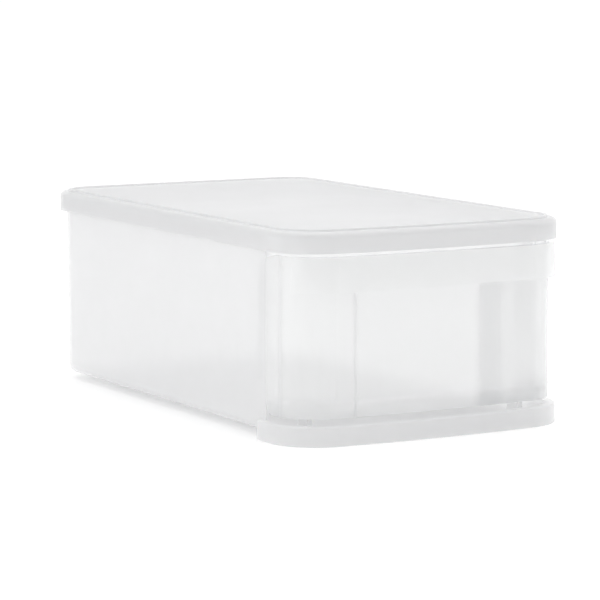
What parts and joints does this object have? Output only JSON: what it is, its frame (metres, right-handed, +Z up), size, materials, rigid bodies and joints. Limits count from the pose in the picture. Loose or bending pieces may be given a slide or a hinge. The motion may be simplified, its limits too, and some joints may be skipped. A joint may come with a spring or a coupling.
{
  "type": "shoe box",
  "caption": "Stackable moulded shoe box with a milky body, a lift-off lid and a clear bowed front door that wraps the corners and drops forward on pins.",
  "frame": {"origin": "centre of the rectangle the box stands on, at ground level", "axes": "+X to the right seen from the front, +Y from the door towards the rear wall, +Z up"},
  "size_m": [0.206, 0.356, 0.1332],
  "materials": {
    "milky_plastic": "satin, translucent",
    "clear_plastic": "glossy, clear"
  },
  "bodies": {
    "body": {"body": "milky_plastic"},
    "door": {"door": "clear_plastic"},
    "lid": {"lid": "milky_plastic"}
  },
  "joints": [
    {"name": "door_hinge", "type": "hinge", "parent": "body", "child": "door", "pos_m": [0, -0.16, 0.0266], "axis": [1, 0, 0], "range_deg": [0, 90]},
    {"name": "lid_lift", "type": "slide", "parent": "body", "child": "lid", "axis": [0, 0, 1], "range_m": [0, 0.06]}
  ]
}
